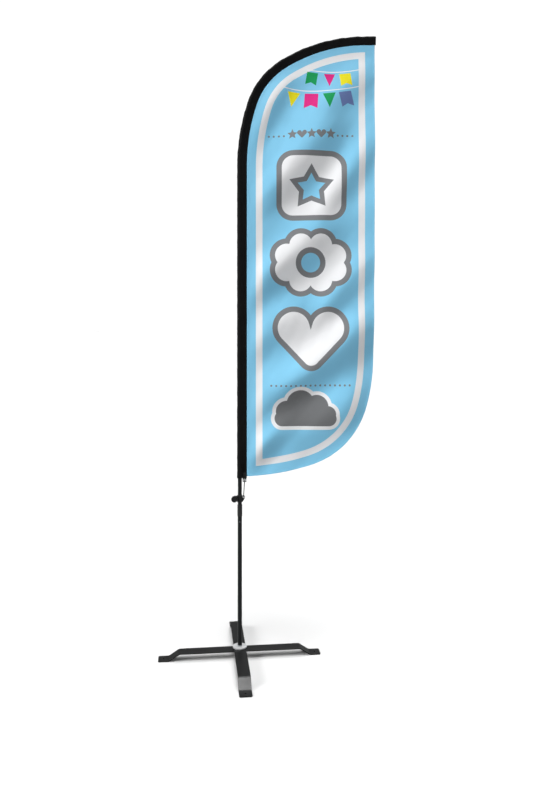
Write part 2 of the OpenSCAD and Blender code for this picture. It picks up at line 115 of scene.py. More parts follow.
def seen_and_lit(tree, seen, lit):
    """A brightness that is one value where the camera looks and another where it lights."""
    path = tree.nodes.new("ShaderNodeLightPath")
    blend = tree.nodes.new("ShaderNodeMix")
    blend.inputs["A"].default_value = lit
    blend.inputs["B"].default_value = seen
    link(tree, path.outputs["Is Camera Ray"], blend.inputs["Factor"])
    return blend.outputs["Result"]


SURROUND_SEEN, SURROUND_LIGHTS = 1.05, 0.22      # its brightness, seen and lighting
FLOOR_SEEN, FLOOR_LIGHTS = 0.60, 0.32            # how much the floor reflects, seen and lighting
FLOOR_GLOW = 0.03                                # lifts the seen floor to a clean white
FLOOR_REACH = 60.0                               # metres to each side

world = bpy.data.worlds.new("surround")
world.use_nodes = True
bpy.context.scene.world = world
background = world.node_tree.nodes["Background"]
background.inputs["Color"].default_value = (1, 1, 1, 1)
link(world.node_tree, seen_and_lit(world.node_tree, SURROUND_SEEN, SURROUND_LIGHTS),
     background.inputs["Strength"])
bpy.context.scene.view_settings.view_transform = "Standard"

floor_mesh = bpy.data.meshes.new("floor")
corners = [(-1, -1), (1, -1), (1, 1), (-1, 1)]
floor_mesh.from_pydata([(x * FLOOR_REACH, y * FLOOR_REACH, 0) for x, y in corners], [], [range(4)])
floor_finish = bpy.data.materials.new("floor_white")
floor_finish.use_nodes = True
shader = floor_finish.node_tree.nodes["Principled BSDF"]
link(floor_finish.node_tree, seen_and_lit(floor_finish.node_tree, FLOOR_SEEN, FLOOR_LIGHTS),
     shader.inputs["Base Color"])
shader.inputs["Roughness"].default_value = 0.9
shader.inputs["Specular IOR Level"].default_value = 0.0
shader.inputs["Emission Color"].default_value = (1, 1, 1, 1)
link(floor_finish.node_tree, seen_and_lit(floor_finish.node_tree, FLOOR_GLOW, 0.0),
     shader.inputs["Emission Strength"])
floor_mesh.materials.append(floor_finish)
floor = new_object("floor", floor_mesh)

FLAG_MIDDLE, POLE_MIDDLE = (0.3, 0, 2.1), (0, 0, 1.6)
HUB, FRONT_FOOT = (0, 0, 0), (0.06, -0.40, 0)
lamp("key", "SUN", (-5.0, -2.7, 5.2), FLAG_MIDDLE, 2.4, math.radians(24))
lamp("overhead", "SUN", (0.61, -1.51, 5.87), FRONT_FOOT, 1.45, math.radians(20))
lamp("ceiling", "SUN", (0.6, 1.9, 6.0), HUB, 2.2, math.radians(56))
lamp("strip_left", "AREA", (-2.4, -1.6, 1.8), POLE_MIDDLE, 6, 0.3, 3.0)
lamp("strip_right", "AREA", (2.6, -1.2, 1.8), POLE_MIDDLE, 6, 0.3, 3.0)
lamp("back_fill", "AREA", (1.6, 3.4, 5.2), FLAG_MIDDLE, 45, 2.4)

# %% [markdown]
# ## The pole's line
# Everything on the flag follows one line: the pole goes straight up, bends over in three arcs
# that get tight in the middle, and ends in a short level run. A function that gives the point
# and the lean at any distance along that line lets the sleeve, the seam, the stitches and the
# printed border all share it.

# %% Sizes from the frame, and the pole's line
sleeve_low, sleeve_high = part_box("pole_sleeve")
panel_low, panel_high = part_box("flag_panel")
MOUTH_Z = sleeve_low.z
TIP_X = sleeve_high.x
SEAM = panel_low.x                       # from the pole's axis in to the seam
BENDS = [(1.120, 18), (0.415, 40), (0.860, 32)]    # radius, and turn in degrees
UPRIGHT = 1.706                          # the straight part above the sleeve's mouth
TIP_RUN = 0.059                          # the level part at the tip
ARC_LENGTHS = [radius * math.radians(turn) for radius, turn in BENDS]
LINE_LENGTH = UPRIGHT + sum(ARC_LENGTHS) + TIP_RUN


def line_at(distance):
    """Place (x, z) and lean from upright, at a distance along the pole's line from the mouth."""
    x, z, lean = 0.0, MOUTH_Z + min(distance, UPRIGHT), 0.0
    left = distance - UPRIGHT
    for (radius, _), length in zip(BENDS, ARC_LENGTHS):
        part = max(0.0, min(left, length)) / radius
        x += radius * (math.cos(lean) - math.cos(lean + part))
        z += radius * (math.sin(lean + part) - math.sin(lean))
        lean += part
        left -= length
    return x + max(0.0, left), z, lean


def beside_line(distance, offset):
    """A point beside the line: offset counts towards the panel."""
    x, z, lean = line_at(distance)
    return x + offset * math.cos(lean), z - offset * math.sin(lean)


tip = line_at(LINE_LENGTH)
print("line", round(LINE_LENGTH, 3), "m; tip off by", round(abs(tip[0] - TIP_X) * 1000, 2), "mm")

# %% [markdown]
# ## The panel's outline
# The cloth is cut along the seam, straight down its outer edge, and then round a long curve back
# to the sleeve. The same outline set in by a few centimetres gives the printed border, so the
# outline is made by a function with one inset for each side.

# %% Outline of the panel, at any inset
FREE_EDGE = [(1.47, 17), (0.67, 56), (1.90, 15)]   # radius for a panel 1 wide, and turn
RIGHT = panel_high.x
PANEL_WIDTH = RIGHT - SEAM
edge_leans = np.cumsum([0] + [math.radians(turn) for _, turn in FREE_EDGE])
edge_run = sum(r * (math.cos(a) - math.cos(b))
               for (r, _), a, b in zip(FREE_EDGE, edge_leans, edge_leans[1:]))
EDGE_SCALE = PANEL_WIDTH / edge_run
edge_drop = sum(r * (math.sin(b) - math.sin(a))
                for (r, _), a, b in zip(FREE_EDGE, edge_leans, edge_leans[1:]))
EDGE_TOP = panel_low.z + edge_drop * EDGE_SCALE
PITCH = 0.012              # longest side of a cut or printed line
SAME_POINT = 0.002         # points nearer than this are one point


def free_edge(inset, steps=40):
    """Points from the top of the lower curve round to the seam, set in from the cut edge."""
    x, z = RIGHT, EDGE_TOP
    points = []
    for (radius, _), a, b in zip(FREE_EDGE, edge_leans, edge_leans[1:]):
        radius *= EDGE_SCALE
        for k in range(steps + 1):
            lean = a + (b - a) * k / steps
            px = x - radius * (math.cos(a) - math.cos(lean))
            pz = z - radius * (math.sin(lean) - math.sin(a))
            points.append((px - inset * math.cos(lean), pz + inset * math.sin(lean)))
        x -= radius * (math.cos(a) - math.cos(b))
        z -= radius * (math.sin(b) - math.sin(a))
    return points


def panel_outline(at_seam=0.0, at_tip=0.0, at_right=0.0, at_edge=0.0):
    """The outline, anticlockwise from its lower left corner, set in on each side."""
    left, right = SEAM + at_seam, RIGHT - at_right
    low = [p for p in free_edge(at_edge) if left < p[0] < right]
    corner = min(free_edge(at_edge), key=lambda p: abs(p[0] - left))
    points = [(left, corner[1])] + low[::-1]
    count = int(LINE_LENGTH / PITCH)
    seam = []
    for k in range(count + 1):
        distance = LINE_LENGTH * k / count
        lean_share = line_at(distance)[2] / math.radians(90)
        inset = at_seam + (at_tip - at_seam) * lean_share ** 2
        seam.append(beside_line(distance, SEAM + inset))
    top = [p for p in seam if p[1] > corner[1] + PITCH / 2 and p[0] < right]
    points += [(right, top[-1][1])] + top[::-1]
    kept = [points[0]]
    for p in points[1:]:
        if math.dist(p, kept[-1]) > SAME_POINT:
            kept.append(p)
    return kept


def filled(points):
    """The outline with extra points, so that no side is longer than the pitch."""
    made = []
    for a, b in zip(points, points[1:] + points[:1]):
        parts = max(1, math.ceil(math.dist(a, b) / PITCH))
        made += [(a[0] + (b[0] - a[0]) * k / parts, a[1] + (b[1] - a[1]) * k / parts)
                 for k in range(parts)]
    return made


cut_edge = filled(panel_outline())

# %% [markdown]
# ## How the cloth hangs
# The sleeve holds the panel flat along the seam, and the cloth's own weight pulls slanting folds
# from there down to the free edge. A cloth simulation would find such folds by chance. Here they
# are set one by one as soft ridges, each with its two ends, half width, height and bow, so that
# they run where this flag has them. The height fades to nothing at the seam.

# %% Folds as a height over the flat panel
FOLDS = [   # start x, z, end x, z, half width, height, bow (all metres)
    (0.02, 2.80, 0.24, 3.20, 0.052, 0.024, 0.03),
    (0.14, 2.50, 0.52, 3.00, 0.068, 0.039, -0.05),
    (0.46, 2.46, 0.74, 2.86, 0.050, 0.024, 0.02),
    (0.46, 3.02, 0.74, 3.24, 0.060, 0.015, 0.02),
    (0.02, 1.98, 0.50, 2.40, 0.066, 0.039, -0.04),
    (0.44, 1.88, 0.74, 2.22, 0.052, 0.024, 0.03),
    (0.02, 1.66, 0.34, 1.92, 0.060, 0.019, 0.02),
    (0.24, 1.46, 0.70, 1.84, 0.060, 0.035, -0.03),
    (0.02, 1.30, 0.30, 1.56, 0.060, 0.019, 0.01),
    (0.02, 1.06, 0.28, 1.32, 0.046, 0.028, -0.02),
    (0.28, 1.14, 0.62, 1.42, 0.060, 0.019, 0.02),
]
FADE, FAN = 0.55, 0.5      # where a ridge fades out, and how much it widens along its length
VALLEY, VALLEY_OFF = 0.45, 2.3     # the hollow beside a ridge, as shares of its rise and width
RIPPLES = [   # height, waves, across x and z, and how its phase sways: by how much, how fast, start
    (0.0010, 31, 0.78, 0.62, 2.2, 5.1, 0.0),
    (0.0003, 97, 0.83, 0.55, 3.1, 7.3, 1.0),
]
BILLOW = 0.012             # slow swing of the whole panel
SEAM_REACH = 0.11          # how far from the seam the cloth is held flat
CURL_BACK = 0.045          # how far the outer edge turns away low down
CURL_FROM_X, CURL_BELOW_Z = 0.50, 2.05
seam_line = np.array([beside_line(LINE_LENGTH * k / 240, SEAM) for k in range(241)])


def smooth(value):
    value = np.clip(value, 0, 1)
    return value * value * (3 - 2 * value)


def cloth_height(x, z):
    """How far the cloth stands towards the front, at places on the flat panel."""
    height = np.zeros_like(x)
    for x0, z0, x1, z1, width, rise, bow in FOLDS:
        length = math.hypot(x1 - x0, z1 - z0)
        along = ((x - x0) * (x1 - x0) + (z - z0) * (z1 - z0)) / length ** 2 - 0.5
        across = ((x - x0) * (z1 - z0) - (z - z0) * (x1 - x0)) / length
        across = across - bow * (along ** 2 - 0.25)
        ends = np.exp(-(along / FADE) ** 4)
        width = width * (1 + FAN * along)
        hollow = (across - VALLEY_OFF * width) / width
        height += rise * np.exp(-0.5 * (across / width) ** 2) * ends
        height -= VALLEY * rise * np.exp(-0.5 * hollow ** 2) * ends
    slant = 0.62 * x + 0.78 * z
    for rise, waves, by_x, by_z, sway, speed, start in RIPPLES:
        phase = waves * (by_x * x - by_z * z) + sway * np.sin(speed * slant + start)
        height += rise * np.sin(phase)
    height += BILLOW * np.sin(4.4 * z + 3.0 * x) * smooth((x - SEAM) / 0.5)
    outer = smooth((x - CURL_FROM_X) / 0.26)
    height -= CURL_BACK * outer ** 2 * smooth((CURL_BELOW_Z - z) / 0.5)
    from_seam = np.full(x.shape, np.inf)
    for sx, sz in seam_line:
        np.minimum(from_seam, np.hypot(x - sx, z - sz), out=from_seam)
    return height * smooth(from_seam / SEAM_REACH) ** 0.8


def cloth_points(flat, lift=0.0):
    """Places and front normals of flat (x, z) points on the hanging cloth."""
    x, z = np.array(flat, float).T
    step = 0.002
    rest = cloth_height(x, z)
    slope_x = (cloth_height(x + step, z) - rest) / step
    slope_z = (cloth_height(x, z + step) - rest) / step
    normal = np.stack([-slope_x, -np.ones_like(x), -slope_z], 1)
    normal /= np.linalg.norm(normal, axis=1)[:, None]
    place = np.stack([x, -rest, z], 1)
    return place + normal * lift, normal


probe, _ = cloth_points(cut_edge)
print("edge swings from", round(probe[:, 1].min(), 3), "to", round(probe[:, 1].max(), 3))

# %% [markdown]
# ## The finishes
# Three effects are shared by many finishes, so each is a node group that is built once: a
# knitted weave for cloth, a fine grain for moulded and painted surfaces, and wear with dust for
# whatever stands on the ground. The groups only give heights and masks that change over the
# surface. Everything that is the same all over is set on the shader itself. The helpers below
# make a node and link it in one line.

# %% Node group helpers
def new_group(name, inputs, outputs):
    group = bpy.data.node_groups.new(name, "ShaderNodeTree")
    for label, kind, value in inputs:
        socket = group.interface.new_socket(label, in_out="INPUT", socket_type=kind)
        if value is not None:
            socket.default_value = value
    for label, kind in outputs:
        group.interface.new_socket(label, in_out="OUTPUT", socket_type=kind)
    return group, group.nodes.new("NodeGroupInput"), group.nodes.new("NodeGroupOutput")


def math_node(tree, operation, first, second=None, third=None, clamp=False):
    node = tree.nodes.new("ShaderNodeMath")
    node.operation = operation
    node.use_clamp = clamp
    for socket, value in zip(node.inputs, (first, second, third)):
        if isinstance(value, (int, float)):
            socket.default_value = value
        elif value is not None:
            link(tree, value, socket)
    return node.outputs[0]


def noise_node(tree, coordinates, scale, detail=3.0):
    """A noise texture; the scale is a number or another node's output."""
    node = tree.nodes.new("ShaderNodeTexNoise")
    node.inputs["Detail"].default_value = detail
    if isinstance(scale, (int, float)):
        node.inputs["Scale"].default_value = scale
    else:
        link(tree, scale, node.inputs["Scale"])
    link(tree, coordinates, node.inputs["Vector"])
    return node.outputs["Fac"]


# %% [markdown]
# ### Weave
# Cloth is two sets of threads that cross, over dye and tension that vary slowly. Two sine waves
# multiplied give the crossings, and they stay crisp at any distance, where noise would blur.

# %% Weave group
VALUE, VECTOR = "NodeSocketFloat", "NodeSocketVector"
weave, into, out = new_group(
    "weave",
    [("Coordinates", VECTOR, None), ("Threads per metre", VALUE, 900.0)],
    [("Height", VALUE), ("Unevenness", VALUE)],
)
axes = weave.nodes.new("ShaderNodeSeparateXYZ")
link(weave, into.outputs["Coordinates"], axes.inputs[0])
turns = math_node(weave, "MULTIPLY", into.outputs["Threads per metre"], 2 * math.pi)
round_pole = math_node(weave, "ADD", axes.outputs["X"], axes.outputs["Y"])
warp = math_node(weave, "SINE", math_node(weave, "MULTIPLY", round_pole, turns))
weft = math_node(weave, "SINE", math_node(weave, "MULTIPLY", axes.outputs["Z"], turns))
crossing = math_node(weave, "MULTIPLY", warp, weft)
link(weave, math_node(weave, "MULTIPLY_ADD", crossing, 0.5, 0.5), out.inputs["Height"])
link(weave, noise_node(weave, into.outputs["Coordinates"], 7.0), out.inputs["Unevenness"])

# %% [markdown]
# ### Grain
# Paint and moulded plastic have fine pits and a slow blotchiness. Two noises of very different
# scale give both, and each finish sets how fine the pits are.

# %% Grain group
grain, into, out = new_group(
    "grain",
    [("Coordinates", VECTOR, None), ("Grains per metre", VALUE, 1500.0)],
    [("Height", VALUE), ("Blotches", VALUE)],
)
link(grain, noise_node(grain, into.outputs["Coordinates"], into.outputs["Grains per metre"], 2.0),
     out.inputs["Height"])
link(grain, noise_node(grain, into.outputs["Coordinates"], 16.0), out.inputs["Blotches"])

# %% [markdown]
# ### Wear and dust
# Edges rub bare first, and dust settles on what faces up near the ground. The material hands in
# how sharp and how level the surface is, and the group breaks both up with noise.

# %% Wear and dust group
wear, into, out = new_group(
    "wear_and_dust",
    [("Coordinates", VECTOR, None), ("Edge", VALUE, 0.5), ("Up", VALUE, 0.0),
     ("Dust height", VALUE, 0.08)],
    [("Rubbed", VALUE), ("Dust", VALUE)],
)
axes = wear.nodes.new("ShaderNodeSeparateXYZ")
link(wear, into.outputs["Coordinates"], axes.inputs[0])
sharp = math_node(wear, "MULTIPLY", math_node(wear, "SUBTRACT", into.outputs["Edge"], 0.54), 9.0,
                  clamp=True)
patchy = math_node(wear, "MULTIPLY_ADD", noise_node(wear, into.outputs["Coordinates"], 90.0),
                   3.0, -1.2, clamp=True)
link(wear, math_node(wear, "MULTIPLY", sharp, patchy), out.inputs["Rubbed"])
low = math_node(wear, "SUBTRACT", 1.0,
                math_node(wear, "DIVIDE", axes.outputs["Z"], into.outputs["Dust height"]),
                clamp=True)
facing_up = math_node(wear, "MULTIPLY", low, into.outputs["Up"], clamp=True)
specks = math_node(wear, "MULTIPLY_ADD", noise_node(wear, into.outputs["Coordinates"], 60.0),
                   2.2, -0.6, clamp=True)
link(wear, math_node(wear, "MULTIPLY", facing_up, specks), out.inputs["Dust"])
print("groups", [g.name for g in bpy.data.node_groups])

# %% [markdown]
# ## Cloth finishes
# The flag is knitted polyester with the picture dyed into it, so every colour of the print has
# the same weave and sheen, and only the dye differs. The black sleeve is a heavier cloth of the
# same kind, and the webbing and the elastic are coarser still.

# %% Cloth material
def new_finish(name, **shader_values):
    """A material, its node tree, its shader and its object coordinates."""
    made = bpy.data.materials.new(name)
    made.use_nodes = True
    tree = made.node_tree
    shader = tree.nodes["Principled BSDF"]
    for label, value in shader_values.items():
        shader.inputs[label.replace("_", " ")].default_value = value
    coordinates = tree.nodes.new("ShaderNodeTexCoord").outputs["Object"]
    return made, tree, shader, coordinates


def place_group(tree, group, **links):
    node = tree.nodes.new("ShaderNodeGroup")
    node.node_tree = group
    for label, value in links.items():
        socket = node.inputs[label.replace("_", " ")]
        if isinstance(value, (int, float)):
            socket.default_value = value
        else:
            link(tree, value, socket)
    return node


def bump(tree, shader, height, depth):
    """Raises the surface by a height that runs from 0 to 1, times the depth in metres."""
    node = tree.nodes.new("ShaderNodeBump")
    node.inputs["Strength"].default_value = 1.0
    node.inputs["Distance"].default_value = depth
    link(tree, height, node.inputs["Height"])
    link(tree, node.outputs["Normal"], shader.inputs["Normal"])


def colour_between(tree, mask, first, second):
    node = tree.nodes.new("ShaderNodeMix")
    node.data_type = "RGBA"
    link(tree, mask, node.inputs[0])
    for socket, value in ((node.inputs[6], first), (node.inputs[7], second)):
        if isinstance(value, tuple):
            socket.default_value = (*value, 1)
        else:
            link(tree, value, socket)
    return node.outputs[2]


def linear(colour):
    """A colour given as the eye sees it, 0 to 255, as the light values a shader takes."""
    return tuple((c / 255 / 12.92) if c <= 10 else ((c / 255 + 0.055) / 1.055) ** 2.4
                 for c in colour)


FADED = 0.03               # light that fully uneven dye adds in its pale places


def cloth(name, colour, threads, depth, sheen=0.25, rough=0.75, uneven=0.06, specular=0.3):
    made, tree, shader, place = new_finish(
        name, Sheen_Weight=sheen, Sheen_Roughness=0.45, Specular_IOR_Level=specular)
    shader.inputs["Sheen Tint"].default_value = (1, 1, 1, 1)
    threads_on_it = place_group(tree, weave, Coordinates=place, Threads_per_metre=threads)
    base = linear(colour)
    pale = tuple(min(1, c * (1 + uneven) + FADED * uneven) for c in base)
    dull = tuple(c * (1 - uneven) for c in base)
    link(tree, colour_between(tree, threads_on_it.outputs["Unevenness"], dull, pale),
         shader.inputs["Base Color"])
    roughness = math_node(tree, "MULTIPLY_ADD", threads_on_it.outputs["Height"], -0.1, rough)
    link(tree, roughness, shader.inputs["Roughness"])
    bump(tree, shader, threads_on_it.outputs["Height"], depth)
    return made


PRINT = {
    "blue": (133, 204, 238),
    "white": (238, 239, 241),
    "grey": (124, 126, 129),
    "dark_grey": (112, 114, 116),
    "green": (0, 156, 84),
    "magenta": (224, 30, 130),
    "yellow": (240, 228, 20),
    "slate": (104, 124, 178),
}
print_finish = {k: cloth("print_" + k, v, 900.0, 0.00012, sheen=0.12) for k, v in PRINT.items()}
sleeve_finish = cloth("sleeve_black", (6, 6, 7), 700.0, 0.00025, sheen=0.006, rough=0.6,
                      uneven=0.25, specular=0.08)
webbing_finish = cloth("webbing_black", (15, 15, 16), 420.0, 0.0005, sheen=0.05, uneven=0.2)
elastic_finish = cloth("elastic_black", (14, 14, 15), 640.0, 0.0003, sheen=0.05, uneven=0.2)
black_thread = cloth("thread_black", (13, 13, 14), 2400.0, 0.0001, sheen=0.05)
blue_thread = cloth("thread_blue", (150, 205, 230), 2400.0, 0.0001, sheen=0.2)
print("colours of print", len(print_finish))

# %% [markdown]
# ## The printed picture
# The print is part of the cloth, so it is cut into the mesh itself: each printed shape becomes
# its own faces, with crisp edges at any size and no picture file. Shapes are stacked like
# stickers, and where they overlap the last one shows. Fat outlined shapes are made from circles
# and rounded bars, because a wider outline is then only a larger radius.

# %% Shapes to print with
def disc(x, z, radius, radius_z=None, steps=40):
    radius_z = radius_z or radius
    turn = [math.tau * k / steps for k in range(steps)]
    return [(x + radius * math.cos(a), z + radius_z * math.sin(a)) for a in turn]


def bar(x0, z0, r0, x1, z1, r1, steps=24):
    """Two discs, each with its own radius, and the belt round both."""
    heading = math.atan2(z1 - z0, x1 - x0)
    spread = math.acos((r0 - r1) / math.hypot(x1 - x0, z1 - z0))
    near = [heading + spread + (math.tau - 2 * spread) * k / steps for k in range(steps + 1)]
    far = [heading - spread + 2 * spread * k / steps for k in range(steps + 1)]
    return ([(x0 + r0 * math.cos(a), z0 + r0 * math.sin(a)) for a in near]
            + [(x1 + r1 * math.cos(a), z1 + r1 * math.sin(a)) for a in far])


def star(x, z, radius, waist, points=5):
    """Points up. The waist is the inner corners' share of the radius."""
    made = []
    for k in range(2 * points):
        r = radius if k % 2 == 0 else radius * waist
        a = math.radians(90) + math.pi * k / points
        made.append((x + r * math.cos(a), z + r * math.sin(a)))
    return made


def rounded_box(x, z, half_width, half_height, radius, steps=10):
    made = []
    for corner in range(4):
        side_x = 1 if corner in (0, 3) else -1
        side_z = 1 if corner in (0, 1) else -1
        for k in range(steps + 1):
            a = math.radians(90 * corner + 90 * k / steps)
            made.append((x + side_x * (half_width - radius) + radius * math.cos(a),
                         z + side_z * (half_height - radius) + radius * math.sin(a)))
    return made


def heart(x, z, size, grow=0.0):
    """Two slanting bars from the two humps to the point. Size is from hump to hump."""
    return [bar(x + side * 0.27 * size, z + 0.20 * size, 0.25 * size + grow,
                x, z - 0.27 * size, 0.12 * size + grow) for side in (-1, 1)]


def flower(x, z, width, height, grow=0.0, petals=8):
    petal = 0.19 * height
    made = [disc(x, z, width * 0.36 + grow, height * 0.36 + grow)]
    for k in range(petals):
        a = math.tau * (k + 0.5) / petals
        made.append(disc(x + (width / 2 - petal) * math.cos(a),
                         z + (height / 2 - petal) * math.sin(a), petal + grow))
    return made


def cloud(x, z, width, grow=0.0):
    """Puffs on a flat, rounded base."""
    puffs = [(-0.30, -0.02, 0.17), (-0.08, 0.10, 0.22), (0.18, 0.06, 0.18), (0.35, -0.06, 0.13)]
    made = [disc(x + px * width, z + pz * width, r * width + grow) for px, pz, r in puffs]
    base = 0.12 * width
    made.append(bar(x - 0.37 * width, z - 0.13 * width, base + grow,
                    x + 0.37 * width, z - 0.131 * width, base * 0.98 + grow))
    return made


def swallowtail(x0, x1, top0, top1, length, lean, notch=0.2):
    """A little flag with two tails, hung from a slanting string. It leans to one side."""
    fork = (top0 + top1) / 2 - (1 - notch) * length
    return [(x0, top0), (x0 + lean, top0 - length), ((x0 + x1) / 2 + lean * (1 - notch), fork),
            (x1 + lean, top1 - length), (x1, top1)]


def pennant(x0, x1, top0, top1, length, lean):
    return [(x0, top0), ((x0 + x1) / 2 + lean, (top0 + top1) / 2 - length), (x1, top1)]


def ribbon(points, width):
    """A thin line through some points."""
    upper = [(x, z + width / 2) for x, z in points]
    lower = [(x, z - width / 2) for x, z in points]
    return upper + lower[::-1]


# %% [markdown]
# ## What is printed where
# A white border runs all round, a few centimetres in. Two strings of bunting hang across the
# top, then a row of small hearts and stars between dots, three big outlined shapes one above
# another, a dotted line, and a cloud at the foot. Each could be drawn on its own layer of cloth;
# sticking them on one list, in the order they would be printed, keeps the cloth in one piece.

# %% Lay out the print
stickers = [("blue", cut_edge)]


def stick(colour, *shapes):
    """Adds shapes of one colour on top. The triangulation wants every shape anticlockwise."""
    for shape in shapes:
        x, z = np.array(shape).T
        turns_left = np.dot(x, np.roll(z, -1)) > np.dot(z, np.roll(x, -1))
        stickers.append((colour, filled(shape if turns_left else shape[::-1])))


BORDER_WIDTH = 0.036
border_in = (0.050, 0.038, 0.052, 0.052)       # from the seam, the tip, the right and the edge
stick("white", panel_outline(*border_in))
stick("blue", panel_outline(*(v + BORDER_WIDTH for v in border_in)))


def sag(x0, z0, x1, z1, drop, steps=24):
    """A slack string from one point to another."""
    return [(x0 + (x1 - x0) * k / steps,
             z0 + (z1 - z0) * k / steps - 4 * drop * (k / steps) * (1 - k / steps))
            for k in range(steps + 1)]


def on_string(string, x):
    return float(np.interp(x, [p[0] for p in string], [p[1] for p in string]))


upper_string = sag(0.366, 3.207, 0.652, 3.204, 0.0145)
lower_string = sag(0.238, 3.109, 0.652, 3.113, 0.0250)
bunting = [   # string, colour, shape, its two top corners, length and lean
    (upper_string, "green", swallowtail, 0.369, 0.428, 0.067, -0.012),
    (upper_string, "magenta", pennant, 0.460, 0.521, 0.070, -0.001),
    (upper_string, "yellow", swallowtail, 0.543, 0.604, 0.068, 0.010),
    (lower_string, "yellow", pennant, 0.263, 0.331, 0.078, -0.016),
    (lower_string, "magenta", swallowtail, 0.355, 0.429, 0.081, -0.006),
    (lower_string, "green", pennant, 0.453, 0.522, 0.081, 0.002),
    (lower_string, "slate", swallowtail, 0.539, 0.606, 0.078, 0.020),
]
for string, colour, shape, x0, x1, length, lean in bunting:
    gap = 0.011 if string is upper_string else 0.015       # from the string to the little flag
    tops = on_string(string, x0) - gap, on_string(string, x1) - gap
    stick(colour, shape(x0, x1, *tops, length, lean))
STRING = 0.005
stick("white", ribbon(upper_string, STRING), ribbon(lower_string, STRING))
print("border and bunting", len(stickers), "shapes")

# %% The row of small shapes
DOT = 0.0058


def dots(xs, z):
    stick("grey", *(disc(x, z, DOT, steps=12) for x in xs))


dots((0.159, 0.186, 0.214, 0.241, 0.534, 0.560, 0.587, 0.615), 2.842)
for k in range(5):
    x = 0.287 + 0.052 * k
    small = heart(x, 2.848, 0.050) if k % 2 else [star(x, 2.850, 0.029, 0.46)]
    stick("grey", *small)

# %% The big outlined shapes, the dotted line and the cloud
OUTLINE, CLOUD_OUTLINE = 0.029, 0.020
BLOCK_AT, STAR_AT, FLOWER_AT = (0.392, 2.571), (0.392, 2.564), (0.388, 2.152)
HEART_AT, CLOUD_AT = (0.388, 1.726), (0.359, 1.345)
FLOWER_WIDTH, FLOWER_HEIGHT = 0.471, 0.388     # over the outline
for colour, inset in (("grey", 0), ("white", OUTLINE)):
    stick(colour, rounded_box(*BLOCK_AT, 0.192 - inset, 0.190 - inset, 0.090 - inset))
for colour, radius, waist in (("grey", 0.128, 0.56), ("blue", 0.080, 0.54)):
    stick(colour, star(*STAR_AT, radius, waist))
for colour, grow in (("grey", OUTLINE), ("white", 0)):
    stick(colour, *flower(*FLOWER_AT, FLOWER_WIDTH - 2 * OUTLINE, FLOWER_HEIGHT - 2 * OUTLINE, grow))
for colour, radius in (("grey", 0.083), ("blue", 0.053)):
    stick(colour, disc(*FLOWER_AT, radius))
for colour, grow in (("grey", OUTLINE), ("white", 0)):
    stick(colour, *heart(*HEART_AT, 0.348, grow))
dots([0.172 + 0.0268 * k for k in range(17)], 1.480)
for colour, grow in (("white", CLOUD_OUTLINE), ("dark_grey", 0)):
    stick(colour, *cloud(*CLOUD_AT, 0.345, grow))
print("printed shapes", len(stickers))

# %% [markdown]
# ## Cut the print into the cloth
# A triangulation that keeps given lines puts every printed outline, and an even scatter of inner
# points for the folds, into one flat mesh. It also says which shapes each triangle lies in, and
# the last of them gives the triangle its colour.

# %% Flat printed mesh
GRID = 0.0125              # from one inner point to the next
ROW = 0.87                 # rows of a triangular grid are closer than its points


def flat_print():
    """Flat points, triangles, and each triangle's colour."""
    points, rings = [], []
    for _, shape in stickers:
        rings.append(list(range(len(points), len(points) + len(shape))))
        points += shape
    x, z = np.array(cut_edge).T
    columns = np.arange(x.min() + GRID / 2, x.max(), GRID)
    for row, height in enumerate(np.arange(z.min() + GRID / 2, z.max(), GRID * ROW)):
        points += [(c + (GRID / 2 if row % 2 else 0), height) for c in columns]
    vertices, _, faces, _, _, sources = delaunay_2d_cdt(
        [Vector(p) for p in points], [], rings, 1, 1e-6, True)
    cloth_faces = [(face, max(source)) for face, source in zip(faces, sources) if source]
    colours = [stickers[top][0] for _, top in cloth_faces]
    return np.array([tuple(v) for v in vertices]), [face for face, _ in cloth_faces], colours


def only_used(points, faces):
    """The same faces, without the points that none of them has."""
    used = sorted({i for face in faces for i in face})
    renumber = {old: new for new, old in enumerate(used)}
    return points[used], [[renumber[i] for i in face] for face in faces]


flat, flat_faces, face_colours = flat_print()
flat, flat_faces = only_used(flat, flat_faces)
print("flat mesh", len(flat), "points", len(flat_faces), "faces")

# %% [markdown]
# ## The flag
# The flat mesh is laid over the folds twice, half a millimetre apart, and closed round its cut
# edge, so the flag is a real sheet with a front and a back. The dye goes right through this
# light cloth, so the back shows the picture in reverse.

# %% Helpers for pieces and sheets
CLOTH = 0.0005             # how thick the panel is


def add_piece(name, points, faces, finishes, body, replaced=(), choice=None):
    """A mesh piece that rides on a body and takes its finish from a slot."""
    mesh = bpy.data.meshes.new(name)
    mesh.from_pydata([tuple(p) for p in points], [], [tuple(f) for f in faces])
    for finish in finishes:
        mesh.materials.append(finish)
    if choice is not None:
        mesh.polygons.foreach_set("material_index", choice)
    mesh.polygons.foreach_set("use_smooth", [True] * len(mesh.polygons))
    mesh.update()
    piece = new_object(name, mesh)
    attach(piece, body)
    if replaced:
        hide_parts(*replaced)
    return piece


def rim_of(faces):
    """The directed edges that only one face uses."""
    edges = {(a, b) for face in faces for a, b in zip(face, face[1:] + face[:1])}
    return [edge for edge in edges if edge[::-1] not in edges]


def two_sided(front, back, faces):
    """Front and back layers, joined round the rim."""
    count = len(front)
    rim = rim_of(faces)
    made = [tuple(face) for face in faces]
    made += [tuple(i + count for i in face[::-1]) for face in faces]
    made += [(b, a, a + count, b + count) for a, b in rim]
    return np.concatenate([front, back]), made, rim


def turned_left(faces, points):
    """Turns the triangles of a flat mesh so that they all run anticlockwise."""
    made = []
    for face in faces:
        a, b, c = (points[i] for i in face)
        turn = (b[0] - a[0]) * (c[1] - a[1]) - (b[1] - a[1]) * (c[0] - a[0])
        made.append(face if turn > 0 else face[::-1])
    return made


